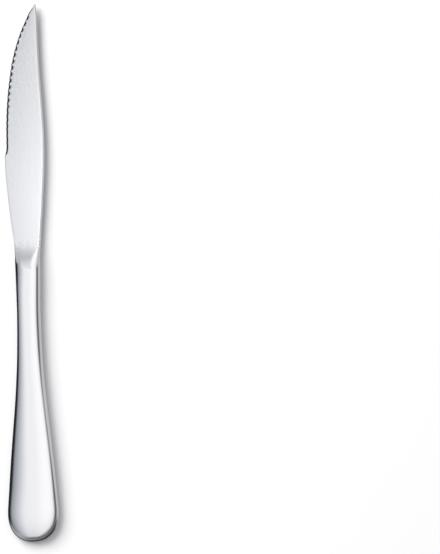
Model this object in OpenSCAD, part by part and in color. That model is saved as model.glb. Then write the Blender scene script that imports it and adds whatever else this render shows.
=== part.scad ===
// Steak knife: a serrated steel blade whose tang is cemented into a hollow steel handle.
// It lies flat along X, with the point at +X, the cutting edge at +Y and the serrated face up.

/* [Handle] */
// Length of the hollow handle, from the butt to the joint line at the shoulder
handle_length = 113; // [95:1:130]
// Width of the handle near the butt, where it is widest
handle_width = 21.1; // [17:0.1:24]
// Width of the handle at its waist
waist_width = 9.6; // [8:0.1:11]
// Width of the handle at the joint line
mouth_width = 10.1; // [8.5:0.1:12]
// Thickness of the handle
handle_thickness = 5.5; // [4.6:0.1:8]
// Length over which the butt is rounded
butt_round = 15; // [11:0.5:20]
// Wall of the two drawn half shells
shell_wall = 0.9; // [0.6:0.1:1.1]

/* [Shoulder] */
// Length of the shoulder, from the joint line to where the blade is flat
shoulder_length = 15; // [11:0.5:20]
// Width of the shoulder, half-way along it
shoulder_width = 10.35; // [8.5:0.05:12]
// Length of the scooped ramp from the blade up to the handle's thickness
scoop_length = 12; // [8:0.5:14]
// Length of the spigot that locates the shoulder in the mouth of the handle
spigot_length = 5; // [3:0.5:10]
// Clearance round the spigot, the fill and the tang
fill_gap = 0.05; // [0.03:0.01:0.1]

/* [Blade] */
// Length of the flat blade, from the shoulder to the point
blade_length = 102; // [85:1:120]
// Width of the blade at its heel, where it is widest
blade_width = 16.4; // [14:0.1:20]
// Thickness of the blade at its root, along the spine
spine_thickness = 2; // [1.6:0.1:2.6]
// Thickness of the blade at its root, along the edge
edge_thickness = 1.3; // [1.1:0.05:1.6]
// Thickness of the blade at the point
point_thickness = 1.2; // [0.9:0.1:1.5]

/* [Serration] */
// Distance from the shoulder to the first serration
serration_start = 40.5; // [30:0.5:50]
// Depth of the step in the outline where the ground edge starts
heel_step = 0.6; // [0.3:0.1:1]
// Length over which that step runs out
heel_run = 3.4; // [1:0.1:4]
// Width of the bevel between the rear serrations
rear_bevel_width = 0.66; // [0.4:0.02:0.8]
// Width of the bevel between the front serrations
front_bevel_width = 0.42; // [0.2:0.02:0.6]
// Width of the plain bevel at the point
point_bevel_width = 0.62; // [0.4:0.02:0.8]
// Thickness that the bevel leaves at the edge
edge_land = 0.1; // [0.05:0.05:0.3]
// Spacing of the serrations along the edge
serration_pitch = 2.8; // [2:0.02:4]
// Width of the flat crown of the wheel that grinds one serration
serration_crown = 1; // [0.6:0.1:1.4]
// Radius of the rounded rims beside that crown
serration_radius = 0.65; // [0.4:0.05:0.9]
// Width of a serration on the face of the blade, in from the edge
serration_width = 1.1; // [0.6:0.05:1.3]
// Depth of the notch that a serration leaves in the edge itself
serration_notch = 0.1; // [0.05:0.05:0.3]
// Length of plain edge before the point
plain_point = 5; // [3:0.5:8]

/* [Tang and fill] */
// Length of the tang behind the spigot
tang_length = 48; // [30:1:60]
// Width of the tang
tang_width = 4.4; // [3.4:0.1:5]
// Thickness of the tang
tang_thickness = 2; // [1.4:0.1:2.2]
// Radius of the notches that key the tang into the fill
tang_notch = 0.8; // [0.4:0.1:1]
// Spacing of those notches
tang_notch_pitch = 9; // [6:0.5:14]
// Length of the fill past the end of the tang
fill_past_tang = 5; // [2:0.5:12]

/* [Hidden] */

// Exponents of the super-ellipses: 2 is an ellipse, and more is squarer
face_fullness = 4;
butt_fullness = 2.3;
root_fullness = 14;

// Handle outline from the butt: share of the handle's length, share of the swell from waist to butt
handle_swell_shares = [
    [0, 1.19], [0.18, 0.92], [0.3, 0.73], [0.42, 0.505], [0.545, 0.27],
    [0.67, 0.1], [0.79, 0.02], [0.86, 0], [1, 0]
];
// The same for the flare from the waist to the joint line
mouth_flare_shares = [[0, 0], [0.86, 0], [0.93, 0.4], [1, 1]];
// Edge and spine from the shoulder: share of the blade's length, share of the blade's width
edge_shares = [
    [0, 0.298], [0.07, 0.353], [0.135, 0.398], [0.2, 0.437], [0.27, 0.473], [0.335, 0.493],
    [0.435, 0.49], [0.5, 0.483], [0.57, 0.46], [0.635, 0.423], [0.7, 0.367], [0.77, 0.289],
    [0.85, 0.147], [0.9, 0.026], [0.935, -0.078], [0.96, -0.152], [0.985, -0.256], [1, -0.338]
];
spine_shares = [
    [0, 0.345], [0.07, 0.377], [0.135, 0.411], [0.2, 0.438], [0.27, 0.468], [0.335, 0.487],
    [0.435, 0.494], [0.5, 0.483], [0.57, 0.463], [0.7, 0.421], [0.81, 0.397], [0.9, 0.389],
    [0.955, 0.38], [0.985, 0.362], [1, 0.338]
];

// Places where the bevel narrows to its front width and then widens to its width at the point, as shares
// of the blade's length: the start and end of both
bevel_narrow_shares = [0.56, 0.65];
bevel_widen_shares = [0.95, 0.96];

// Places on the handle, as shares of its length, through which the outline runs on to the blade
neck_shares = [0.95, 1];
// Share of the shoulder's length over which the blade's plate runs on into the shoulder
root_lap_share = 0.6;
// Share of the shoulder's length over which its skin dips under the blade's, and share of the spine's
// thickness that it dips by
skin_run_share = 0.15;
skin_dip_share = 0.015;

// Steps of the faceted surfaces: a serration's rim, rounding, length, shoulder, across one face and along
// the blade
rim_steps = 5;
round_steps = 10;
handle_steps = 33;
shoulder_steps = 14;
face_steps = 20;
blade_steps = 90;

knife_length = handle_length + shoulder_length + blade_length;
heel_x = handle_length + shoulder_length;
half_thickness = handle_thickness / 2;
spigot_x = handle_length - spigot_length;
tang_x = spigot_x - tang_length;
fill_x = tang_x - fill_past_tang;
overrun = handle_thickness;

// Value at place s of a smooth curve through a table of [place, value] pairs
function table_slope(table, i) =
    let (a = table[max(i - 1, 0)], b = table[min(i + 1, len(table) - 1)]) (b[1] - a[1]) / (b[0] - a[0]);
function table_span(table, s, i = 0) =
    i >= len(table) - 2 || s < table[i + 1][0] ? i : table_span(table, s, i + 1);
function curve_at(table, s) =
    let (
        i = table_span(table, s),
        a = table[i],
        b = table[i + 1],
        span = b[0] - a[0],
        u = (s - a[0]) / span
    )
    a[1] * (1 + 2 * u) * pow(1 - u, 2) + table_slope(table, i) * span * u * pow(1 - u, 2)
    + b[1] * (3 - 2 * u) * pow(u, 2) - table_slope(table, i + 1) * span * (1 - u) * pow(u, 2);

// Smooth step from 0 to 1 as t goes from 0 to 1
function ease(t) = let (u = max(0, min(1, t))) u * u * (3 - 2 * u);
function signed_power(v, e) = sign(v) * pow(abs(v), e);
// Share of the full size that is left at place x of the rounded butt
function butt_share(x, fullness) =
    x >= butt_round ? 1 : pow(1 - pow(1 - x / butt_round, fullness), 1 / fullness);

// Half widths of the handle, and of the whole knife to its edge side and its spine side
function handle_half(x) =
    butt_share(x, butt_fullness) * (waist_width
    + (handle_width - waist_width) * curve_at(handle_swell_shares, x / handle_length)
    + (mouth_width - waist_width) * curve_at(mouth_flare_shares, x / handle_length)) / 2;
function side_table(shares) = concat(
    [for (x = handle_length * neck_shares) [x, handle_half(x)]],
    [[handle_length + shoulder_length / 2, shoulder_width / 2]],
    [for (p = shares) [heel_x + p[0] * blade_length, p[1] * blade_width]]
);
edge_table = side_table(edge_shares);
spine_table = side_table(spine_shares);
heel_end = heel_x + serration_start - heel_run;
function step_at(x) =
    heel_step * ease((heel_end + heel_run - x) / heel_run)
    * ease((x - handle_length) / (shoulder_length / 2) - 1);
function edge_y(x) = curve_at(edge_table, x) + step_at(x);
function spine_y(x) = -curve_at(spine_table, x);

// The blade tapers from spine to edge and from root to point, so each face is one sloping plane
root_y = spine_y(heel_x);
point_y = spine_y(knife_length);
edge_fall = (spine_thickness - edge_thickness) / 2 / (edge_y(heel_x) - root_y);
point_fall = ((spine_thickness - point_thickness) / 2 - edge_fall * (point_y - root_y)) / blade_length;
function plate_half(x, y) = spine_thickness / 2 - edge_fall * (y - root_y) - point_fall * (x - heel_x);

// Ring of points on a super-ellipse at place x: the upper half for one half turn, or all of it for two
function ring(x, edge, spine, fullness, height, half_turns) = [
    for (k = [0:1:half_turns * face_steps])
    let (
        a = 180 * k / face_steps,
        y = (edge - spine) / 2 + (edge + spine) / 2 * signed_power(cos(a), 2 / fullness)
    )
    if (a < 360) [x, y, height * signed_power(sin(a), 2 / fullness)]
];

// Places of the handle's rings: close together round the butt, then even
handle_places = concat(
    [for (k = [1:1:round_steps - 1]) butt_round * (1 - cos(90 * k / round_steps))],
    [for (k = [0:1:handle_steps]) butt_round + (handle_length - butt_round) * k / handle_steps]
);
// The inner skin lies one wall inside the outer one, also at the butt
function inner_place(x) = x >= butt_round ? x : shell_wall + x * (1 - shell_wall / butt_round);
function inner_half(x) =
    x >= butt_round ? handle_half(x) - shell_wall
    : handle_half(x) * (1 - shell_wall / handle_half(butt_round));
function outer_height(x) = half_thickness * butt_share(x, face_fullness);
function inner_height(x) = (half_thickness - shell_wall) * butt_share(x, face_fullness);
function cavity_ring(x, gap) =
    let (half = inner_half(x) - gap)
    ring(x, half, half, face_fullness, half_thickness - shell_wall - gap, 2);

// Triangles between rings of count points, where ring 0 is a single pole if pole is 1
function ring_index(i, j, count, pole) = i < pole ? 0 : pole + (i - pole) * count + j;
function band_faces(rings, count, pole, closed) = [
    for (i = [0:1:rings - 2], j = [0:1:count - (closed ? 1 : 2)])
    let (
        k = (j + 1) % count,
        a = ring_index(i, j, count, pole),
        b = ring_index(i, k, count, pole),
        c = ring_index(i + 1, k, count, pole),
        d = ring_index(i + 1, j, count, pole)
    )
    each concat(i < pole ? [] : [[a, c, b]], [[a, d, c]])
];
function reversed(list) = [for (k = [len(list) - 1:-1:0]) list[k]];
function flipped(faces) = [for (f = faces) reversed(f)];
function shifted(faces, by) = [for (f = faces) [for (i = f) i + by]];

// Closed solid through full rings, with flat ends
module ring_loft(rings) {
    count = len(rings[0]);
    last = (len(rings) - 1) * count;
    polyhedron(
        points = [for (r = rings) each r],
        faces = concat(
            band_faces(len(rings), count, 0, true),
            [[for (j = [0:1:count - 1]) j]],
            [[for (j = [count - 1:-1:0]) last + j]]
        )
    );
}

// Upper half shell of the handle: an outer and an inner skin from one pole each at the butt to the mouth
module half_shell() {
    outer = [for (x = handle_places)
        ring(x, handle_half(x), handle_half(x), face_fullness, outer_height(x), 1)];
    inner = [for (x = handle_places)
        ring(inner_place(x), inner_half(x), inner_half(x), face_fullness, inner_height(x), 1)];
    count = face_steps + 1;
    rings = len(handle_places) + 1;
    base = 1 + len(handle_places) * count;
    skin = band_faces(rings, count, 1, false);
    rim = [for (j = [0, face_steps], i = [0:1:rings - 2])
        let (
            a = ring_index(i, j, count, 1),
            b = ring_index(i + 1, j, count, 1),
            quad = [[a, base + b, b], [a, base + a, base + b]]
        )
        each (j == 0 ? quad : flipped(quad))];
    mouth = [for (j = [0:1:face_steps - 1])
        let (a = ring_index(rings - 1, j, count, 1), b = a + 1)
        each [[a, base + b, b], [a, base + a, base + b]]];
    polyhedron(
        points = concat(
            [[0, 0, 0]], [for (r = outer) each r],
            [[shell_wall, 0, 0]], [for (r = inner) each r]
        ),
        faces = concat(skin, shifted(flipped(skin), base), rim, mouth)
    );
}

module handle_front_shell() {
    color("silver") half_shell();
}

module handle_back_shell() {
    color("silver") mirror([0, 0, 1]) half_shell();
}

// Tang with half-round notches, grown all round by the clearance where the fill makes room for it
module tang(grow = 0) {
    notch_places = [tang_x + tang_notch_pitch:tang_notch_pitch:spigot_x - tang_notch_pitch / 2];
    difference() {
        translate([tang_x - grow, -tang_width / 2 - grow, -tang_thickness / 2 - grow])
            cube([handle_length - tang_x + grow, tang_width + 2 * grow, tang_thickness + 2 * grow]);
        for (side = [-1, 1], x = notch_places)
            translate([x, side * (tang_width / 2 + grow), 0])
                cylinder(r = tang_notch, h = 2 * overrun, center = true, $fn = 32);
    }
}

// Fill that fills the mouth of the handle from the spigot to past the end of the tang
module tang_fill() {
    places = concat([fill_x], [for (x = handle_places) if (x > fill_x && x < spigot_x) x], [spigot_x]);
    color("dimgray") difference() {
        ring_loft([for (x = places) cavity_ring(x, fill_gap)]);
        tang(fill_gap);
    }
}

// The shoulder turns from the blade's section into the handle's over the scoop, and its skin dips
// under the blade's where it ends
skin_run = shoulder_length * skin_run_share;
function scoop_share(x) = ease((heel_x - x) / scoop_length);
function skin_dip(x) = spine_thickness * skin_dip_share * ease(1 + (x - heel_x) / skin_run);
function shoulder_half(x, y) =
    (plate_half(x, y) - skin_dip(x)) * (1 - scoop_share(x)) + half_thickness * scoop_share(x);
function shoulder_ring(x) =
    let (
        edge = edge_y(x) - skin_dip(x),
        spine = -spine_y(x) - skin_dip(x),
        fullness = root_fullness + (face_fullness - root_fullness) * scoop_share(x)
    )
    [for (p = ring(x, edge, spine, fullness, 1, 2)) [x, p[1], p[2] * shoulder_half(x, p[1])]];

// Shoulder from inside the root of the blade to the joint line, then the spigot behind it
module shoulder() {
    ring_loft(concat(
        [cavity_ring(spigot_x, fill_gap), cavity_ring(handle_length, fill_gap)],
        [for (k = [0:1:shoulder_steps])
            shoulder_ring(handle_length + (shoulder_length + skin_run) * k / shoulder_steps)]
    ));
}

// Everything under one sloping face of the blade
module under_face() {
    turn_x = atan(-edge_fall);
    turn_y = atan(-point_fall * cos(turn_x));
    translate([heel_x, root_y, spine_thickness / 2])
        rotate([turn_x, 0, 0])
            rotate([0, -turn_y, 0])
                translate([-knife_length, -knife_length, -2 * knife_length])
                    cube(2 * knife_length);
}

// Flat of the blade between its two sloping faces. It runs on into the shoulder, and narrows there by
// half its thickness, so that the shoulder closes over it
root_lap = shoulder_length * root_lap_share;
function root_narrowing(x) = spine_thickness / 2 * max(0, heel_x - x) / root_lap;
module plate() {
    places = [for (k = [0:1:blade_steps - 1])
        heel_x - root_lap + (blade_length + root_lap) * k / blade_steps];
    edge_side = [for (x = places) [x, edge_y(x) - root_narrowing(x)]];
    spine_side = [for (x = places) [x, spine_y(x) + root_narrowing(x)]];
    intersection() {
        translate([0, 0, -overrun / 2])
            linear_extrude(overrun)
                polygon(concat(edge_side, [[knife_length, point_y]], reversed(spine_side)));
        under_face();
        mirror([0, 0, 1]) under_face();
    }
}

// Direction of the edge at place x, and the places of the serrations one pitch apart along it
edge_step = serration_width / 2;
function edge_angle(x) = atan((edge_y(x + edge_step) - edge_y(x - edge_step)) / (2 * edge_step));
function serration_places(x) =
    x > knife_length - plain_point ? []
    : concat([x], serration_places(x + serration_pitch * cos(edge_angle(x + serration_pitch / 2))));

// The bevel rises from the edge land to the serrated face, and runs out where the step does
function run_share(x, shares) =
    max(0, min(1, ((x - heel_x) / blade_length - shares[0]) / (shares[1] - shares[0])));
function bevel_width(x) =
    rear_bevel_width + (front_bevel_width - rear_bevel_width) * run_share(x, bevel_narrow_shares)
    + (point_bevel_width - front_bevel_width) * run_share(x, bevel_widen_shares);
function bevel_low(x) = edge_land - plate_half(x, edge_y(x));
function bevel_rise(x, width) = plate_half(x, edge_y(x) - width) - bevel_low(x);
function bevel_ring(x) =
    let (
        reach = bevel_width(x) / cos(edge_angle(x)),
        rise = bevel_rise(x, bevel_width(x)),
        y = edge_y(x) + reach * (1 - ease((x - heel_end) / heel_run)),
        low = bevel_low(x) - rise,
        high = bevel_low(x) + 2 * rise
    )
    [[x, y + reach, low], [x, y + reach, high], [x, y - 2 * reach, high]];

module bevel() {
    places = [for (k = [0:1:blade_steps]) heel_end + (knife_length - heel_end) * k / blade_steps];
    past_point = [for (p = bevel_ring(knife_length)) p + [serration_width, 0, 0]];
    ring_loft(concat([for (x = places) bevel_ring(x)], [past_point]));
}

// One groove at each serration, from the notch in the edge up to its width on the face. The wheel's
// crown lies along the groove, and the wheel stands clear of the steel above it
function groove_tilt(x) = atan(bevel_rise(x, serration_width) / (serration_width - serration_notch));
function wheel_side(side) = [
    for (k = [0:1:rim_steps])
    let (a = 90 * k / rim_steps)
    [side * (serration_crown / 2 + serration_radius * sin(a)), serration_radius * (1 - cos(a))]
];
module groove_wheel() {
    above = 3 * serration_width;
    rim = serration_crown / 2 + serration_radius;
    rotate([90, 0, 0])
        linear_extrude(2 * above, center = true)
            polygon(concat(wheel_side(1), [[rim, above], [-rim, above]], reversed(wheel_side(-1))));
}
module grooves() {
    for (x = serration_places(heel_x + serration_start + serration_pitch / 2))
        translate([x, edge_y(x), bevel_low(x)])
            rotate([0, 0, edge_angle(x)])
                translate([0, -serration_notch, 0])
                    rotate([-groove_tilt(x), 0, 0])
                        groove_wheel();
}

module blade() {
    color("gainsboro") {
        difference() {
            plate();
            bevel();
            grooves();
        }
        shoulder();
        tang();
    }
}

translate([-knife_length / 2, 0, half_thickness]) {
    blade();
    handle_front_shell();
    handle_back_shell();
    tang_fill();
}
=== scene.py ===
# Steak knife: a serrated satin blade, a scooped shoulder and a hollow, mirror-polished steel handle.
# Shapes are worked out in millimetres, with x from the butt to the point, y towards the cutting edge
# and z up from the middle plane. makeMesh() turns them into metres in the frame.
import math

import bpy
import numpy as np
from mathutils import Matrix, Vector


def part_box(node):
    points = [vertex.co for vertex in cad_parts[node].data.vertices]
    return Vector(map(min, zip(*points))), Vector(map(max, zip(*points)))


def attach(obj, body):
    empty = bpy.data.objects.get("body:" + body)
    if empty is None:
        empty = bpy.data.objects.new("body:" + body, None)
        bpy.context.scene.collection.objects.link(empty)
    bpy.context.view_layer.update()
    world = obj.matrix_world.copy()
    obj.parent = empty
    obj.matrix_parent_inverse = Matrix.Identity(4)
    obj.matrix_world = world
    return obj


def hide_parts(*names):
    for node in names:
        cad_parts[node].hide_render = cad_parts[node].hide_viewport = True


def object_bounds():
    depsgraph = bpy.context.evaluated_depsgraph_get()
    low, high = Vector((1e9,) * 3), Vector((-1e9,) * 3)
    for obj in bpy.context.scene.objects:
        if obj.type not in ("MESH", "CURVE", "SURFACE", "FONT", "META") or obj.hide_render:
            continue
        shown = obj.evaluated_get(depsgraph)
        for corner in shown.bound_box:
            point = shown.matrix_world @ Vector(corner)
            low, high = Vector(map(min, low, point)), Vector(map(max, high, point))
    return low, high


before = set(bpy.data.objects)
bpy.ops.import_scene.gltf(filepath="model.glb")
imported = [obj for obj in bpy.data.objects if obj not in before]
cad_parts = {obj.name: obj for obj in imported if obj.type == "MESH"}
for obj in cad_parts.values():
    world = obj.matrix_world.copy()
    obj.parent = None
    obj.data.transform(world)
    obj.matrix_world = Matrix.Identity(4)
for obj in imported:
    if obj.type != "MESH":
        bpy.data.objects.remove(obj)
cadLow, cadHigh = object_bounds()
mm = 0.001

shellLow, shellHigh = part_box("handle_front_shell")
knifeLength = (cadHigh.x - cadLow.x) / mm
handleLength = (shellHigh.x - shellLow.x) / mm
halfThickness = (cadHigh.z - cadLow.z) / mm / 2
frameStart = np.array([cadLow.x, 0, (cadLow.z + cadHigh.z) / 2])  # the butt, in the middle plane
print(f"frame loaded: knife {knifeLength:.1f} mm long, handle {handleLength:.1f} mm")


# Adds a node: settings are its own values, and each entry of inputs is a value or a socket to link.
def addNode(tree, kind, inputs=None, **settings):
    node = tree.nodes.new(kind)
    for name, value in settings.items():
        setattr(node, name, value)
    for name, value in (inputs or {}).items():
        if isinstance(value, bpy.types.NodeSocket):
            tree.links.new(value, node.inputs[name])
        else:
            node.inputs[name].default_value = value
    return node


# sRGB hex to linear colour: v / 12.92 where it is dark, or else ((v + 0.055) / 1.055) ^ 2.4.
def linear(code):
    values = [int(code[i:i + 2], 16) / 255 for i in (1, 3, 5)]
    return [v / 12.92 if v <= 0.04045 else ((v + 0.055) / 1.055) ** 2.4 for v in values] + [1]


# Camera: a long lens, tilted from the knife towards its spine and its butt.
view = {
    "distance": 6.0,  # metres
    "towardsSpine": 12.0,  # degrees
    "towardsButt": 13.0,
    "lean": 0.0225,  # the knife's axis leans this much in the photograph
    "pixelsPerMm": 2.393,
    "imageHeight": 554,
    "imageCentre": (220, 277),
    "axisPixel": (28.05, 277),  # a point of the knife's axis in the photograph
    "buttPixelY": 540.3,
    "sensor": 36.0,  # millimetres
    "clipEnd": 24.0,  # metres
}


# The view's tilts give its direction, its lean the roll, and the pixels of the butt and the axis the
# point that it looks at, in the knife's own plane.
def makeCamera():
    spineTilt, buttTilt = math.radians(view["towardsSpine"]), math.radians(view["towardsButt"])
    level = math.cos(buttTilt)
    towards = Vector((-math.sin(buttTilt), -level * math.sin(spineTilt), level * math.cos(spineTilt)))
    up = (Vector((1, 0, 0)) - towards.x * towards).normalized()
    right = up.cross(towards)
    lean = math.atan(view["lean"])
    right, up = (
        math.cos(lean) * right - math.sin(lean) * up,
        math.sin(lean) * right + math.cos(lean) * up,
    )
    axisX = (view["buttPixelY"] - view["axisPixel"][1]) / (view["pixelsPerMm"] * level)
    onAxis = Vector(frameStart) + Vector((axisX * mm, 0, 0))
    across = (view["imageCentre"][0] - view["axisPixel"][0]) / view["pixelsPerMm"] * mm
    aim = onAxis + across * right
    data = bpy.data.cameras.new("camera")
    data.sensor_width = view["sensor"]
    data.lens = view["pixelsPerMm"] / mm * view["distance"] * view["sensor"] / view["imageHeight"]
    data.clip_end = view["clipEnd"]
    camera = bpy.data.objects.new("camera", data)
    camera.location = onAxis + view["distance"] * towards
    back = (camera.location - aim).normalized()
    right = (right - right.dot(back) * back).normalized()
    camera.rotation_mode = "QUATERNION"
    camera.rotation_quaternion = Matrix((right, back.cross(right), back)).transposed().to_quaternion()
    bpy.context.scene.collection.objects.link(camera)
    bpy.context.scene.camera = camera


makeCamera()
print("camera placed")

# Studio: the light of the room by direction, as a polished surface shows it. A direction's places are
# its parts along the knife, across it and up, and the angle that it is turned by round the knife's long
# axis, in degrees from straight up with plus towards the edge. A wall has one colour, or tones by one of
# these places, and it fades in between the two values given of each place. Lengths are in metres.
leftTones = [  # of the room's left, from the floor up
    (-1, "#5E5F62"), (-0.5, "#636467"), (-0.1, "#7E7F82"), (0.3, "#98999C"), (1, "#B2B3B6"),
]
studio = {
    "strength": 1.18,
    "room": {
        "by": "turned",
        "tones": [
            (-180, "#B7B6BB"), (-112, "#BAB9BF"), (-96, "#B2B1B7"), (-84, "#8E8D92"), (-70, "#68676C"),
            (-56, "#5C5B60"), (-44, "#68686C"), (-34, "#96969A"), (-25, "#D2D2D5"), (-16, "#EEEEEF"),
            (-8, "#F6F6F7"), (0, "#FBFBFB"), (6, "#FCFCFC"), (10, "#F9F9FA"), (11.5, "#F6F6F7"),
            (12.3, "#EEEEF0"), (13.5, "#E1E2E4"), (16, "#CFD1D4"), (21, "#B9BCC1"), (28, "#A4A7AD"),
            (35, "#979AA2"), (42, "#7C7E86"), (50, "#434449"), (58, "#26272B"), (120, "#1A1B1E"),
            (150, "#5A5B60"), (168, "#A2A2A8"), (180, "#B7B6BB"),
        ],
    },
    "walls": [
        # the grey wall beyond the point, and those at its left and its right
        {
            "fades": {"up": (-0.1, 0.2), "turned": (4.6, 11.5)}, "blend": "DARKEN", "by": "along",
            "tones": [
                (0.227, "#FFFFFF"), (0.236, "#F1F1F2"), (0.26, "#E7E7E9"), (0.3, "#DFE0E2"),
                (0.37, "#D9DADC"), (0.48, "#D0D1D4"), (0.55, "#C6C7CA"), (0.6, "#BBBCC0"), (1, "#B4B5B9"),
            ],
        },
        {"fades": {"along": (0.36, 0.5), "up": (0.1, 0.3), "turned": (17.2, 28.6)}, "colour": "#B2B4B8"},
        {"fades": {"along": (0.26, 0.36), "turned": (-14.3, -28.6)}, "colour": "#CACACE"},
        # the ceiling, which gets darker towards the dark end
        {
            "fades": {"up": (0.3, 0.6)}, "blend": "MULTIPLY", "by": "along",
            "tones": [
                (-1, "#D0D1D4"), (-0.13, "#E2E3E5"), (0.1, "#F3F3F4"), (0.21, "#FFFFFF"), (1, "#FFFFFF"),
            ],
        },
        # the left of the room, towards the dark end
        {"fades": {"along": (0.15, -0.2), "turned": (40.1, 51.6)}, "by": "up", "tones": leftTones},
    ],
    # the dark end of the room, from the floor up, with a band of dim windows
    "darkEnd": {
        "by": "up",
        "tones": [
            (-1, "#3E3E41"), (-0.8, "#404043"), (-0.4, "#464649"), (0.08, "#4E4E51"), (0.19, "#838387"),
            (0.42, "#838387"), (0.56, "#58585B"), (0.75, "#646467"), (0.9, "#808084"), (1, "#BCBCBF"),
        ],
    },
    # it fades in by the larger of these two, so its border leans with the height and slants across
    "darkEndFades": [
        {"leaning": (0.15, -0.22), "slanting": (-0.04, -0.22)},
        {"along": (-0.06, -0.32), "up": (0.96, 0.86)},
    ],
    "lean": 0.1,  # leaning is the part along, plus this much of the part up
    "slant": 1.4,  # slanting is the part along, plus this much of the part across
    # the left of that end, and a pale wall at its middle
    "darkEndWalls": [
        {"fades": {"across": (0.1, 0.6)}, "by": "up", "tones": leftTones},
        {"fades": {"along": (-0.8, -0.93), "up": (0.1, 0.3)}, "colour": "#98989C"},
    ],
    "fill": "#C2C2C4",  # soft light that matt surfaces take from the whole room
    "backdrop": "#FFFFFF",
    "floorSize": 40.0,
    "floorColour": "#F4F4F4",
    "keyLight": {"power": 38.0, "size": 1.7, "place": (0.75, 1.0, 1.3), "aim": (0, 0, 0)},
    "bladeLight": {
        "power": 0.125, "size": 0.04, "place": (0.026, -0.035, 0.062), "aim": (0.026, -0.035, 0),
    },
}


# Polished surfaces see the room, matt ones a soft even fill, and the camera a plain backdrop.
def makeWorld():
    world = bpy.data.worlds.new("studio")
    bpy.context.scene.world = world
    world.use_nodes = True
    tree = world.node_tree
    tree.nodes.clear()
    coord = addNode(tree, "ShaderNodeTexCoord")
    parts = addNode(tree, "ShaderNodeSeparateXYZ", {0: coord.outputs["Generated"]})
    along, across, up = (parts.outputs[name] for name in "XYZ")
    places = {"along": along, "across": across, "up": up}
    for name, operation, inputs in (
        ("radians", "ARCTAN2", (across, up)),
        ("leaning", "MULTIPLY_ADD", (up, studio["lean"], along)),
        ("slanting", "MULTIPLY_ADD", (across, studio["slant"], along)),
    ):
        places[name] = addNode(
            tree, "ShaderNodeMath", dict(enumerate(inputs)), operation=operation).outputs[0]
    places["turned"] = addNode(
        tree, "ShaderNodeMath", {0: places["radians"]}, operation="DEGREES").outputs[0]

    # a wall's one colour, or a ramp of its tones over the whole range of a place
    def tonesOf(wall):
        if "colour" in wall:
            return linear(wall["colour"])
        reach = 180 if wall["by"] == "turned" else 1
        share = addNode(tree, "ShaderNodeMapRange", {0: places[wall["by"]], 1: -reach, 2: reach})
        ramp = addNode(tree, "ShaderNodeValToRGB", {0: share.outputs[0]})
        elements = ramp.color_ramp.elements
        elements.remove(elements[-1])
        for i, (place, colour) in enumerate(wall["tones"]):
            position = (place + reach) / (2 * reach)
            element = elements[0] if i == 0 else elements.new(position)
            element.position = position
            element.color = linear(colour)
        return ramp.outputs[0]

    # how much of a wall shows in a direction: the product of its smooth steps
    def shareOf(fades):
        share = 1.0
        for name, (start, end) in fades.items():
            step = addNode(
                tree, "ShaderNodeMapRange", {0: places[name], 1: start, 2: end},
                interpolation_type="SMOOTHSTEP",
            )
            share = addNode(
                tree, "ShaderNodeMath", {0: share, 1: step.outputs[0]}, operation="MULTIPLY").outputs[0]
        return share

    # the room with walls over it, each over those before it
    def withWalls(room, walls):
        for wall in walls:
            mixed = addNode(
                tree, "ShaderNodeMix", {0: shareOf(wall["fades"]), 6: room, 7: tonesOf(wall)},
                data_type="RGBA", blend_type=wall.get("blend", "MIX"),
            )
            room = mixed.outputs[2]
        return room

    room = withWalls(tonesOf(studio["room"]), studio["walls"])
    end = withWalls(tonesOf(studio["darkEnd"]), studio["darkEndWalls"])
    first, second = (shareOf(fades) for fades in studio["darkEndFades"])
    larger = addNode(tree, "ShaderNodeMath", {0: first, 1: second}, operation="MAXIMUM")
    whole = addNode(tree, "ShaderNodeMix", {0: larger.outputs[0], 6: room, 7: end}, data_type="RGBA")
    polished = addNode(tree, "ShaderNodeBackground", {0: whole.outputs[2], 1: studio["strength"]})
    matt = addNode(tree, "ShaderNodeBackground", {0: linear(studio["fill"])})
    plain = addNode(tree, "ShaderNodeBackground", {0: linear(studio["backdrop"])})
    path = addNode(tree, "ShaderNodeLightPath")
    light = addNode(tree, "ShaderNodeMixShader", {
        0: path.outputs["Is Glossy Ray"], 1: matt.outputs[0], 2: polished.outputs[0],
    })
    seen = addNode(tree, "ShaderNodeMixShader", {
        0: path.outputs["Is Camera Ray"], 1: light.outputs[0], 2: plain.outputs[0],
    })
    addNode(tree, "ShaderNodeOutputWorld", {0: seen.outputs[0]})


# A square lamp, turned to its aim. The polished steel shows the room and not the lamps.
def makeLight(name):
    lamp = studio[name]
    data = bpy.data.lights.new(name, "AREA")
    data.energy = lamp["power"]
    data.size = lamp["size"]
    light = bpy.data.objects.new(name, data)
    light.location = lamp["place"]
    light.rotation_mode = "QUATERNION"
    light.rotation_quaternion = (Vector(lamp["place"]) - Vector(lamp["aim"])).to_track_quat("Z", "Y")
    light.visible_glossy = False
    bpy.context.scene.collection.objects.link(light)
    return light


# A square sheet of matt white paper, which can be seen from above only.
def makeFloor():
    half = studio["floorSize"] / 2
    corners = [(-half, -half, 0), (half, -half, 0), (half, half, 0), (-half, half, 0)]
    mesh = bpy.data.meshes.new("floor")
    mesh.from_pydata(corners, [], [(0, 1, 2, 3)])
    paper = bpy.data.materials.new("whitePaper")
    paper.use_nodes = True
    tree = paper.node_tree
    tree.nodes.clear()
    matt = addNode(tree, "ShaderNodeBsdfDiffuse", {0: linear(studio["floorColour"])})
    clear = addNode(tree, "ShaderNodeBsdfTransparent")
    side = addNode(tree, "ShaderNodeNewGeometry")
    sheet = addNode(tree, "ShaderNodeMixShader", {
        0: side.outputs["Backfacing"], 1: matt.outputs[0], 2: clear.outputs[0],
    })
    addNode(tree, "ShaderNodeOutputMaterial", {0: sheet.outputs[0]})
    mesh.materials.append(paper)
    floor = bpy.data.objects.new("floor", mesh)
    floor.visible_glossy = False
    bpy.context.scene.collection.objects.link(floor)


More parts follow.
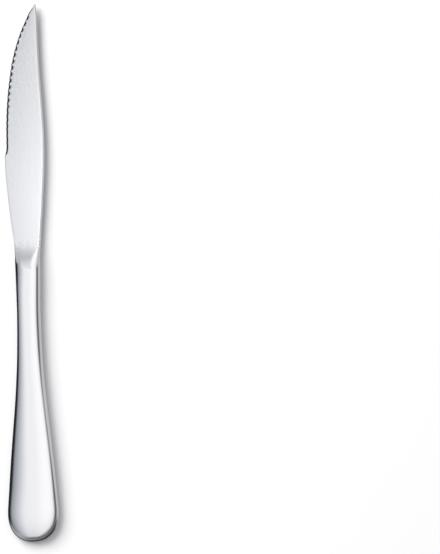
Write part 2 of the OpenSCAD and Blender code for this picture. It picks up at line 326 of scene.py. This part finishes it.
bpy.context.scene.view_settings.view_transform = "Standard"
makeWorld()
makeFloor()
makeLight("keyLight")
bladeLight = makeLight("bladeLight")
print("studio lit")

# Martensitic stainless, satin ground along the blade: a soft pale sheen with faint lengthwise streaks.
# Lengths are in millimetres. The grit's own scratches are too fine to show, so the grain is drawn coarser.
satinFinish = {
    "colour": "#DFE0E2",
    "metallic": 0.85,
    "roughness": 0.28,
    "roughnessSpread": 0.008,
    "streak": (60.0, 0.45, 0.45),  # along the knife, across and through
    "grain": (6.0, 0.16, 0.16),
    "grainHeight": 0.0003,
    "polishRun": (129.0, 120.0),  # it runs out into the mirror polish between these places from the butt
    "polishedGrain": 0.05,  # share of its grain that is left there
}
# The same steel, ground across the edge: darker from most sides, with crisp facets.
groundFinish = {
    "colour": "#C4C5C9",
    "metallic": 1.0,
    "roughness": 0.22,
    "roughnessSpread": 0.05,
    "streak": (0.2, 5.0, 5.0),
    "grain": (0.12, 2.0, 2.0),
    "grainHeight": 0.0008,
}
# Austenitic stainless, buffed to a mirror: clear reflections and a few hairline scuffs.
mirrorFinish = {
    "colour": "#EDEDEE",
    "metallic": 1.0,
    "roughness": 0.06,
    "roughnessSpread": 0.035,
    "streak": (5.0, 0.5, 0.5),
    "grain": (3.0, 0.3, 0.3),
    "grainHeight": 0.00002,
}
# Resin cement, cast grey and matt, with sand in it.
cementFinish = {"colours": ("#55534F", "#6A6761"), "roughness": 0.8, "grain": 0.4, "grainHeight": 0.05}
# Noise of all the finishes: its finer layers, and the values that it seldom leaves.
noise = {"detail": 3.0, "grainDetail": 2.0, "low": 0.3, "high": 0.7}


# Noise over Object coordinates, stretched to the given lengths in millimetres.
def stretchedNoise(tree, lengths, detail):
    coord = addNode(tree, "ShaderNodeTexCoord")
    place = addNode(tree, "ShaderNodeMapping", {
        0: coord.outputs["Object"], 3: [1 / (length * mm) for length in lengths],
    })
    pattern = addNode(tree, "ShaderNodeTexNoise", {
        "Vector": place.outputs[0], "Scale": 1.0, "Detail": detail,
    })
    return pattern.outputs[0]


# Relief of the given height in millimetres.
def addGrain(tree, lengths, height):
    relief = stretchedNoise(tree, lengths, noise["grainDetail"])
    bump = addNode(tree, "ShaderNodeBump", {"Height": relief, "Distance": height * mm})
    tree.links.new(bump.outputs[0], tree.nodes["Principled BSDF"].inputs["Normal"])


# Steel of one finish: the streaks vary its roughness and the grain its relief.
def makeMetal(name, finish):
    material = bpy.data.materials.new(name)
    material.use_nodes = True
    tree = material.node_tree
    shader = tree.nodes["Principled BSDF"]
    shader.inputs["Metallic"].default_value = finish["metallic"]
    shader.inputs["Base Color"].default_value = linear(finish["colour"])
    middle, spread = finish["roughness"], finish["roughnessSpread"]
    rough = addNode(tree, "ShaderNodeMapRange", {
        0: stretchedNoise(tree, finish["streak"], noise["detail"]), 1: noise["low"], 2: noise["high"],
        3: middle - spread, 4: middle + spread,
    })
    tree.links.new(rough.outputs[0], shader.inputs["Roughness"])
    addGrain(tree, finish["grain"], finish["grainHeight"])
    return material


# The satin steel of the blade, buffed to a mirror at the shoulder: a smooth step along the knife
# takes metal, roughness, colour and grain from one finish to the other.
def makeBladeMetal():
    material = makeMetal("satinStainless", satinFinish)
    tree = material.node_tree
    shader, bump = tree.nodes["Principled BSDF"], tree.nodes["Bump"]
    coord = addNode(tree, "ShaderNodeTexCoord")
    along = addNode(tree, "ShaderNodeSeparateXYZ", {0: coord.outputs["Object"]}).outputs["X"]
    start, end = (frameStart[0] + place * mm for place in satinFinish["polishRun"])
    polish = addNode(
        tree, "ShaderNodeMapRange", {0: along, 1: start, 2: end}, interpolation_type="SMOOTHSTEP")
    rough = shader.inputs["Roughness"]
    for socket, before, after in (
        (shader.inputs["Metallic"], satinFinish["metallic"], mirrorFinish["metallic"]),
        (rough, rough.links[0].from_socket, mirrorFinish["roughness"]),
        (shader.inputs["Base Color"], linear(satinFinish["colour"]), linear(mirrorFinish["colour"])),
        (bump.inputs["Strength"], 1.0, satinFinish["polishedGrain"]),
    ):
        # of a mix's sockets, those for a colour come later than those for a number
        kind, first, result = ("RGBA", 6, 2) if socket.type == "RGBA" else ("FLOAT", 2, 0)
        inputs = {0: polish.outputs[0], first: before, first + 1: after}
        tree.links.new(addNode(tree, "ShaderNodeMix", inputs, data_type=kind).outputs[result], socket)
    return material


# Cement of two greys, mottled by its sand.
def makeCement():
    material = bpy.data.materials.new("resinCement")
    material.use_nodes = True
    tree = material.node_tree
    shader = tree.nodes["Principled BSDF"]
    shader.inputs["Roughness"].default_value = cementFinish["roughness"]
    lengths = [cementFinish["grain"]] * 3
    dark, pale = (linear(code) for code in cementFinish["colours"])
    share = stretchedNoise(tree, lengths, noise["detail"])
    sand = addNode(tree, "ShaderNodeMix", {0: share, 6: dark, 7: pale}, data_type="RGBA")
    tree.links.new(sand.outputs[2], shader.inputs["Base Color"])
    addGrain(tree, lengths, cementFinish["grainHeight"])
    return material


satin = makeBladeMetal()
ground = makeMetal("groundStainless", groundFinish)
mirror = makeMetal("mirrorStainless", mirrorFinish)
cement = makeCement()
print("materials made")


# Cubic Hermite curve through [place, value] pairs. With u the share of the way between two pairs, their
# values weigh (1 + 2u)(1 - u)^2 and (3 - 2u)u^2, and their slopes times the span u(1 - u)^2 and
# -(1 - u)u^2. The slope at a pair is that between its two neighbours.
def curveAt(table, s):
    table = np.array(table, float)
    last = len(table) - 1
    ahead = np.minimum(np.arange(last + 1) + 1, last)
    behind = np.maximum(np.arange(last + 1) - 1, 0)
    slope = (table[ahead, 1] - table[behind, 1]) / (table[ahead, 0] - table[behind, 0])
    i = np.clip(np.searchsorted(table[:, 0], s, side="right") - 1, 0, last - 1)
    span = table[i + 1, 0] - table[i, 0]
    u = (s - table[i, 0]) / span
    return (
        table[i, 1] * (1 + 2 * u) * (1 - u) ** 2 + slope[i] * span * u * (1 - u) ** 2
        + table[i + 1, 1] * (3 - 2 * u) * u ** 2 - slope[i + 1] * span * (1 - u) * u ** 2
    )


# Smooth step: three t squared less two t cubed, held at 0 and 1 outside.
def ease(t):
    u = np.clip(t, 0, 1)
    return u * u * (3 - 2 * u)


# Straight mix: a, plus a share of the way from a to b.
def mix(a, b, share):
    return a + (b - a) * share


# Unit super-ellipse at polar angles: radius (|cos|^n + |sin|^n) ^ (-1/n).
def unitRing(angles, fullness):
    c, s = np.cos(angles), np.sin(angles)
    radius = (np.abs(c) ** fullness + np.abs(s) ** fullness) ** (-1 / fullness)
    return radius * c, radius * s


# Points of rings at places x: y runs from the middle of the two sides, z from the middle plane. The
# sides and the height are one number or one for each ring, and the fullness may differ from point to point.
def ringPoints(x, edge, spine, height, angles, fullness):
    ringY, ringZ = unitRing(angles, fullness)
    x, edge, spine, height = (np.broadcast_to(v, np.shape(x))[:, None] for v in (x, edge, spine, height))
    y = (edge + spine) / 2 + (edge - spine) / 2 * ringY
    return np.stack([x + 0 * y, y, height * ringZ], axis=2)


# Quads of a grid of rows by columns, the columns joined round if closed.
def gridQuads(rows, columns, closed, first=0):
    i = np.arange(rows - 1)[:, None]
    j = np.arange(columns if closed else columns - 1)[None, :]
    k = (j + 1) % columns
    quads = np.stack([i * columns + j, i * columns + k, (i + 1) * columns + k, (i + 1) * columns + j], axis=2)
    return quads.reshape(-1, 4) + first


# Quads between two rows of points.
def stripQuads(row, other):
    return np.stack([row[:-1], row[1:], other[1:], other[:-1]], axis=1)


# A fan of triangles from one point to a row of points.
def fanTriangles(centre, row, closed):
    after = np.roll(row, -1) if closed else row[1:]
    before = row if closed else row[:-1]
    return np.stack([np.full(len(after), centre), after, before], axis=1)


# Makes the mesh, in metres in the frame, with creases over the given angle kept sharp. The print gives
# its volume, the sum over its triangles of a . (b x c) / 6, which is positive where faces point out.
def makeMesh(name, points, quads, triangles, materials, node, crease):
    mesh = bpy.data.meshes.new(name)
    mesh.from_pydata(points * mm + frameStart, [], quads.tolist() + triangles.tolist())
    for material in materials:
        mesh.materials.append(material)
    mesh.polygons.foreach_set("use_smooth", np.ones(len(quads) + len(triangles), bool))
    mesh.set_sharp_from_angle(angle=math.radians(crease))
    mesh.update()
    piece = bpy.data.objects.new(name, mesh)
    bpy.context.scene.collection.objects.link(piece)
    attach(piece, "root")
    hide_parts(node)
    corners = points[np.concatenate([triangles, quads[:, :3], quads[:, [0, 2, 3]]])]
    volume = np.einsum("ij,ij->", corners[:, 0], np.cross(corners[:, 1], corners[:, 2])) / 6
    print(f"{name}: {len(points)} points, {len(quads) + len(triangles)} faces, {volume:.0f} cubic mm")
    return piece


handle = {
    "width": 21.1,  # near the butt
    "waistWidth": 9.6,
    "mouthWidth": 10.1,
    "buttRound": 15.0,
    "wall": 0.9,
    # exponents of the section's super-ellipse on the edge's side and on the spine's, by share of the length
    "edgeFullness": [
        [0, 4], [0.13, 4], [0.2, 3.62], [0.26, 3.5], [0.33, 3.6], [0.4, 3.74], [0.48, 3.88],
        [0.55, 4.07], [0.63, 4.37], [0.7, 4.66], [0.78, 4.96], [0.86, 5.2], [0.93, 5.0], [1, 4.2],
    ],
    "spineFullness": [
        [0, 4], [0.13, 4], [0.2, 4.6], [0.27, 4.8], [0.4, 4.9], [0.5, 4.95], [0.56, 4.7],
        [0.63, 4.3], [0.7, 3.9], [0.78, 3.65], [0.86, 3.65], [0.93, 3.8], [1, 4.1],
    ],
    "sideFullness": 4,  # exponents of the butt's rounded end, from the side and from above
    "buttFullness": 2.3,
    # share of what the butt's width, and then the mouth's, has over the waist's, by share of the length
    "swellShares": [
        [0, 1.19], [0.18, 0.92], [0.3, 0.73], [0.42, 0.505], [0.545, 0.27],
        [0.67, 0.1], [0.79, 0.02], [0.86, 0], [1, 0],
    ],
    "flareShares": [[0, 0], [0.86, 0], [0.93, 0.4], [1, 1]],
    "buttSteps": 48,
    "lengthSteps": 110,
    "roundSteps": 96,
    "crease": 35,  # degrees: sharper bends stay sharp
}


# Share of the full size left at x: (1 - (1 - x / round) ^ n) ^ (1 / n), a super-ellipse's quarter.
def buttShare(x, fullness):
    rest = np.clip(1 - x / handle["buttRound"], 0, 1)
    return (1 - rest ** fullness) ** (1 / fullness)


# Half width of the handle: waist, plus the swell to the butt, plus the flare to the joint.
def handleHalf(x):
    swell = curveAt(handle["swellShares"], x / handleLength) * (handle["width"] - handle["waistWidth"])
    flare = curveAt(handle["flareShares"], x / handleLength) * (handle["mouthWidth"] - handle["waistWidth"])
    return buttShare(x, handle["buttFullness"]) * (handle["waistWidth"] + swell + flare) / 2


# Exponents of the section's super-ellipse at places x and polar angles: those of the edge's side where
# the cosine is positive, or else those of the spine's.
def sectionFullness(x, angles):
    edge, spine = (curveAt(handle[side], x / handleLength) for side in ("edgeFullness", "spineFullness"))
    return np.where(np.cos(angles) > 0, edge[..., None], spine[..., None])


# Half shell of the handle, up for side 1 and down for -1: half rings of the section, and the same less
# the wall inside them, closed at the rim and the mouth. Near the butt the rings are spaced by a cosine.
def makeHandleShell(name, node, side):
    wall, buttRound = handle["wall"], handle["buttRound"]
    turn = np.linspace(0, np.pi / 2, handle["buttSteps"] + 1)[1:]
    straightX = np.linspace(buttRound, handleLength, handle["lengthSteps"] + 1)[1:]
    x = np.concatenate([buttRound * (1 - np.cos(turn)), straightX])
    angles = np.linspace(0, np.pi, handle["roundSteps"] + 1)
    fullness = sectionFullness(x, angles)
    half, profile = handleHalf(x), buttShare(x, handle["sideFullness"])
    outer = ringPoints(x, half, -half, halfThickness * profile, angles, fullness)
    inRound = x < buttRound
    innerX = np.where(inRound, wall + x * (1 - wall / buttRound), x)
    roundHalf = float(handleHalf(buttRound))
    innerHalf = np.where(inRound, half * (1 - wall / roundHalf), half - wall)
    inner = ringPoints(innerX, innerHalf, -innerHalf, (halfThickness - wall) * profile, angles, fullness)
    rows, columns = outer.shape[:2]
    count = rows * columns
    points = np.concatenate([outer.reshape(-1, 3), inner.reshape(-1, 3), [[0, 0, 0], [wall, 0, 0]]])
    poles = np.array([2 * count, 2 * count + 1])
    starts = np.arange(rows) * columns
    left = np.concatenate([poles[:1], starts])
    leftIn = np.concatenate([poles[1:], starts + count])
    right = np.concatenate([poles[:1], starts + columns - 1])
    rightIn = np.concatenate([poles[1:], starts + columns - 1 + count])
    mouth = np.arange(columns) + (rows - 1) * columns
    quads = np.concatenate([
        gridQuads(rows, columns, False),
        gridQuads(rows, columns, False, count)[:, ::-1],
        stripQuads(left, leftIn),
        stripQuads(right, rightIn)[:, ::-1],
        stripQuads(mouth, mouth + count),
    ])
    first = np.arange(columns)
    triangles = np.concatenate([
        fanTriangles(poles[0], first, False),
        fanTriangles(poles[1], first + count, False)[:, ::-1],
    ])
    points[:, 2] *= side
    if side < 0:
        quads, triangles = quads[:, ::-1], triangles[:, ::-1]
    makeMesh(name, points, quads, triangles, [mirror], node, handle["crease"])


makeHandleShell("handleFront", "handle_front_shell", 1)
makeHandleShell("handleBack", "handle_back_shell", -1)

blade = {
    "length": 102.0,
    "width": 16.4,
    "spineThickness": 2.0,
    "edgeThickness": 1.3,
    "pointThickness": 1.2,
    "shoulderLength": 15.0,
    "shoulderWidth": 10.35,
    "scoopLength": 12.0,
    "scoopSlant": 1.2,  # it is this much longer at the spine's side, and as much shorter at the edge's
    "spineEase": (0.85, 0.5),  # eased corner along the spine, across the face and down the side
    "cornerRound": 0.25,
    "cornerShares": (0.3, 0.5, 0.2),  # these three take no more than such shares of the blade's width
    "groundCorner": 0.02,  # what is left of the corner's rounding under the ground edge
    "crown": 0.1,  # the face stands this much proud of its plane, midway across
    "tipRun": 1.2,  # the point thins out over this length, to this share of its thickness
    "tipThinness": 0.3,
    "nose": 0.45,  # radius that the point is rounded to
    "neckShares": [0.95, 1],  # where the outline takes up the handle's, by share of the handle's length
    # distance of the edge and of the spine from the axis, in widths, by share of the length
    "edgeShares": [
        [0, 0.298], [0.07, 0.353], [0.135, 0.398], [0.2, 0.437], [0.27, 0.473], [0.335, 0.493],
        [0.435, 0.49], [0.5, 0.483], [0.57, 0.46], [0.635, 0.423], [0.7, 0.367], [0.77, 0.289],
        [0.85, 0.147], [0.9, 0.026], [0.935, -0.078], [0.96, -0.152], [0.985, -0.256], [1, -0.338],
    ],
    "spineShares": [
        [0, 0.345], [0.07, 0.377], [0.135, 0.411], [0.2, 0.438], [0.27, 0.468], [0.335, 0.487],
        [0.435, 0.494], [0.5, 0.483], [0.57, 0.463], [0.7, 0.421], [0.81, 0.397], [0.9, 0.389],
        [0.955, 0.38], [0.985, 0.362], [1, 0.338],
    ],
    "plainStep": 0.6,
    "groundStep": 0.11,
    "groundLead": 0.5,  # these finer steps start this far before the ground edge
    "lastStep": 0.02,  # the last section is at least this far from the point
    "slopeStep": 0.05,  # the edge's slope is taken this far to both sides
    # steps of one section: edge side, bevel, face, spine corner, spine side, corner, back face, corner
    "sectionSteps": (6, 10, 16, 8, 8, 5, 12, 5),
    "crease": 30,
}

serration = {
    "start": 40.5,  # from the shoulder
    "heelStep": 0.6,  # the outline steps in by this much, over the next length
    "heelRun": 3.4,
    "groundRun": (0.4, 1.4),  # the bevel reaches its full width between these distances from the heel's end
    "edgeLand": 0.1,  # what the bevel leaves of the edge's thickness
    "pitch": 2.8,
    "crown": 1.0,  # flat across the crown of the wheel that grinds a groove
    "radius": 0.65,  # of the wheel's rounded rims
    # of a groove, in from the edge, by share of the blade's length
    "widths": [[0, 1.0], [0.5, 1.0], [0.64, 1.1], [1, 1.1]],
    "notch": 0.1,  # of the edge itself, by a groove
    "plainPoint": 5.0,  # no groove has its middle this close to the point
    # of the bevel between the grooves, by share of the blade's length
    "landWidths": [[0, 0.84], [0.56, 0.84], [0.66, 0.52], [0.95, 0.52], [0.96, 0.66], [1, 0.66]],
    "tipShare": 0.7,  # the bevel takes at most this share of the width at the point
}

tang = {
    "length": 48.0,
    "width": 4.4,
    "thickness": 2.0,
    "spigotLength": 5.0,  # it fills the handle's mouth but for the gap
    "gap": 0.05,
    "notch": 0.8,  # radius of the notches that hold the tang in the cement
    "notchPitch": 9.0,
    "fullness": 30,  # exponent of its section, nearly a rectangle
    "step": 0.3,
}

heelX = handleLength + blade["shoulderLength"]
heelEnd = heelX + serration["start"] - serration["heelRun"]


# The outline from the neck to the point: through the neck, the shoulder and the blade's shares.
def sideCurve(shares, x):
    neck = [[s * handleLength, float(handleHalf(s * handleLength))] for s in blade["neckShares"]]
    middle = [[handleLength + blade["shoulderLength"] / 2, blade["shoulderWidth"] / 2]]
    rest = [[heelX + s * blade["length"], v * blade["width"]] for s, v in shares]
    return curveAt(neck + middle + rest, x)


# How far each side stands out near the point: the half width of a circle's end, the root of
# (2 r t less t squared), t from the point, less that of the two curves, where it is the wider.
def noseOut(x):
    t = np.clip(knifeLength - x, 0, 2 * blade["nose"])
    circle = np.sqrt(2 * blade["nose"] * t - t ** 2)
    half = (sideCurve(blade["edgeShares"], x) + sideCurve(blade["spineShares"], x)) / 2
    return np.maximum(circle - half, 0) * (x > knifeLength - 2 * blade["nose"])


# Edge side of the outline, with the small step where the ground edge starts.
def edgeY(x):
    step = ease((heelEnd + serration["heelRun"] - x) / serration["heelRun"])
    start = ease((x - handleLength) / (blade["shoulderLength"] / 2) - 1)
    return sideCurve(blade["edgeShares"], x) + serration["heelStep"] * step * start + noseOut(x)


# Spine side of the outline.
def spineY(x):
    return -sideCurve(blade["spineShares"], x) - noseOut(x)


rootY = spineY(heelX)
pointY = spineY(knifeLength)
edgeFall = (blade["spineThickness"] - blade["edgeThickness"]) / 2 / (edgeY(heelX) - rootY)
pointFall = (
    (blade["spineThickness"] - blade["pointThickness"]) / 2 - edgeFall * (pointY - rootY)
) / blade["length"]


# Half thickness of the blade: each face is one plane that falls to the edge and to the point.
def plateHalf(x, y):
    return blade["spineThickness"] / 2 - edgeFall * (y - rootY) - pointFall * (x - heelX)


# How far a groove's wheel has drawn back from the groove's middle line, at places x of the edge: the
# middles are one pitch apart along the edge, and the draw back is the rim's radius less the root of
# (radius squared less d squared), where d is the distance past the flat crown.
def grooveDrawBack(x):
    along = np.concatenate([[0], np.cumsum(np.hypot(np.diff(x), np.diff(edgeY(x))))])
    start = np.interp(heelX + serration["start"], x, along)
    pitch, radius = serration["pitch"], serration["radius"]
    number = np.floor((along - start) / pitch)
    pastCrown = np.abs(along - start - (number + 0.5) * pitch) - serration["crown"] / 2
    pastCrown = np.clip(pastCrown, 0, radius)
    end = np.interp(knifeLength - serration["plainPoint"], x, along)
    drawBack = radius - np.sqrt(radius ** 2 - pastCrown ** 2)
    inGroove = (number >= 0) & (start + (number + 0.5) * pitch <= end) & (pastCrown < radius)
    return np.where(inGroove, drawBack, 2 * serration["widths"][-1][1])


# Sections of the blade at places x, as rows of points round from the lower corner of the edge: edge
# side, bevel, face, eased spine corner, spine side, corner, back face, corner. The bevel rises from the
# edge's land to the face, as far in from the outline as the wheel or the land between grooves takes it,
# the flat parts are straight mixes of their two ends, and the corners are quarters of ellipses.
def plateSections(x):
    drawBack = grooveDrawBack(x)[:, None]
    x = x[:, None]
    edge, spine = edgeY(x), spineY(x)
    width = edge - spine
    near = blade["slopeStep"]
    slope = (edgeY(x + near) - edgeY(x - near)) / (2 * near)
    inX, inY = slope / np.hypot(slope, 1), -1 / np.hypot(slope, 1)  # inwards, square to the edge
    thin = mix(blade["tipThinness"], 1, np.clip((knifeLength - x) / blade["tipRun"], 0, 1) ** 0.5)
    top = plateHalf(x, edge) * thin
    bottom, low = -top, -top + serration["edgeLand"]
    place = (x - heelX) / blade["length"]
    full = np.interp(place, *np.array(serration["widths"]).T)
    reach = np.minimum(1, serration["tipShare"] * width / np.hypot(slope, 1) / full)
    land = np.interp(place, *np.array(serration["landWidths"]).T) * reach
    full = np.maximum(full * reach, land)
    drawBack = drawBack / np.sin(np.arctan2(top - low, full - serration["notch"]))
    acrossLimit, downLimit, cornerLimit = (share * width for share in blade["cornerShares"])
    easeY = np.minimum(blade["spineEase"][0], acrossLimit)
    easeZ = np.minimum(blade["spineEase"][1], downLimit)
    corner = np.minimum(blade["cornerRound"], cornerLimit)
    groundStart, groundFull = serration["groundRun"]
    ground = ease((x - heelEnd - groundStart) / (groundFull - groundStart))
    rows = []

    def addRows(y, z, alongX):
        rows.append(np.stack(np.broadcast_arrays(alongX, y, z), axis=2))

    def share(i):
        return np.arange(blade["sectionSteps"][i])[None, :] / blade["sectionSteps"][i]

    # in from the outline at a share of the bevel's height: the land's line or the groove's, the deeper
    def bevelIn(t):
        groove = serration["notch"] + (full - serration["notch"]) * t - drawBack
        return np.maximum(np.maximum(land * t, groove), 0) * ground

    # where the edge isn't ground, its corners are rounded
    cornerDown = mix(corner, np.minimum(blade["groundCorner"], corner), ground)
    foot = bevelIn(0)
    height = mix(bottom + cornerDown, mix(top - corner, low, ground), share(0))
    addRows(edge + inY * foot, height, x + inX * foot)
    t = share(1)
    inward = mix(corner * (1 - np.cos(t * np.pi / 2)), bevelIn(t), ground)
    height = mix(top - corner * (1 - np.sin(t * np.pi / 2)), mix(low, top, t), ground)
    addRows(edge + inY * inward, height, x + inX * inward)
    # the face is its plane with a slight crown, from the bevel to the eased corner of the spine
    inward = mix(corner, bevelIn(1), ground)
    spineTop = plateHalf(x, spine + easeY) * thin
    crown = blade["crown"] * np.clip(width / blade["width"], 0, 1) * thin
    t = share(2)
    height = mix(top, spineTop, t) + crown * 4 * t * (1 - t)
    addRows(mix(edge + inY * inward, spine + easeY, t), height, mix(x + inX * inward, x, t))
    # eased spine corner, a quarter of an ellipse, then the spine side and its lower corner
    t = share(3) * np.pi / 2
    addRows(spine + easeY * (1 - np.sin(t)), spineTop - easeZ * (1 - np.cos(t)), x)
    addRows(spine, mix(spineTop - easeZ, corner - spineTop, share(4)), x)
    t = share(5) * np.pi / 2
    addRows(spine + corner * (1 - np.cos(t)), corner * (1 - np.sin(t)) - spineTop, x)
    # back face, and the corner that it ends in
    t = share(6)
    endY = edge + inY * foot - cornerDown
    addRows(mix(spine + corner, endY, t), mix(-spineTop, bottom, t), mix(x, x + inX * foot, t))
    t = share(7) * np.pi / 2
    addRows(endY + cornerDown * np.sin(t), bottom + cornerDown * (1 - np.cos(t)), x + inX * foot)
    return np.concatenate(rows, axis=1)


# Rings of the tang, which is notched by circles along both sides: half its width is less the root of
# (radius squared less d squared), d from the nearest notch.
def tangRings(startX, endX, angles):
    pitch = tang["notchPitch"]
    x = np.arange(startX, endX + tang["step"] / 2, tang["step"])
    x[-1] = endX
    fromNotch = (x - startX) % pitch
    fromNotch = np.minimum(fromNotch, pitch - fromNotch)
    notched = (x > startX + pitch / 2) & (x < endX - pitch / 2)
    notch = np.sqrt(np.maximum(tang["notch"] ** 2 - fromNotch ** 2, 0)) * notched
    half = tang["width"] / 2 - notch
    return ringPoints(x, half, -half, tang["thickness"] / 2, angles, tang["fullness"])


# The blade is one closed surface: tang, spigot, shoulder, plate and point. A smooth step over the
# scoop's length takes the shoulder from the handle's section to the plate's.
def makeBlade():
    spigotX = handleLength - tang["spigotLength"]
    tangX = spigotX - tang["length"]
    groundX = np.arange(heelEnd - blade["groundLead"], knifeLength - blade["lastStep"], blade["groundStep"])
    plainCount = int((groundX[0] - handleLength) / blade["plainStep"]) + 1
    x = np.concatenate([np.linspace(handleLength, groundX[0], plainCount)[:-1], groundX])
    sections = plateSections(x)
    # angles of the section at the heel, by which every other ring is laid out
    heel = plateSections(heelX + blade["slopeStep"] * np.array([-1, 0, 1]))[1]
    middle = (edgeY(heelX) + spineY(heelX)) / 2
    half = (edgeY(heelX) - spineY(heelX)) / 2
    height = np.abs(heel[:, 2]).max()
    angles = np.arctan2(heel[:, 2] / height, (heel[:, 1] - middle) / half)
    scoopLength = blade["scoopLength"] - blade["scoopSlant"] * np.cos(angles)
    scoop = ease((heelX - x)[:, None] / scoopLength)
    mouthFullness = sectionFullness(handleLength, angles)
    rings = ringPoints(x, edgeY(x), spineY(x), halfThickness, angles, mouthFullness)
    body = mix(sections, rings, scoop[:, :, None])
    inset = handle["wall"] + tang["gap"]
    spigotPlaces = np.array([spigotX, handleLength])
    spigotHalf = handleHalf(spigotPlaces) - inset
    spigot = ringPoints(spigotPlaces, spigotHalf, -spigotHalf, halfThickness - inset, angles, mouthFullness)
    loft = np.concatenate([tangRings(tangX, spigotX, angles), spigot, body])
    rows, columns = loft.shape[:2]
    count = rows * columns
    points = np.concatenate([loft.reshape(-1, 3), [[tangX, 0, 0], [knifeLength, pointY, 0]]])
    quads = gridQuads(rows, columns, True)
    row = np.arange(columns)
    triangles = np.concatenate([
        fanTriangles(count, row, True),
        fanTriangles(count + 1, row + count - columns, True)[:, ::-1],
    ])
    piece = makeMesh(
        "bladeAndTang", points, quads, triangles, [satin, ground], "blade", blade["crease"])
    # the ground finish covers the bevel
    quadRow, quadColumn = np.divmod(np.arange(len(quads)), columns)
    bevelStart = blade["sectionSteps"][0]
    bevelEnd = bevelStart + blade["sectionSteps"][1]
    onBevel = (quadColumn >= bevelStart) & (quadColumn < bevelEnd) & (loft[quadRow + 1, 0, 0] > heelEnd)
    finish = np.zeros(len(quads) + len(triangles), int)
    finish[:len(quads)][onBevel] = 1
    piece.data.polygons.foreach_set("material_index", finish)
    return piece


bladePiece = makeBlade()
# the small light over the heel is for the blade alone
lit = bpy.data.collections.new("litBlade")
lit.objects.link(bladePiece)
bladeLight.light_linking.receiver_collection = lit

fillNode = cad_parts["tang_fill"]
for fillSlot in fillNode.material_slots:
    fillSlot.material = cement
print("finishes set")
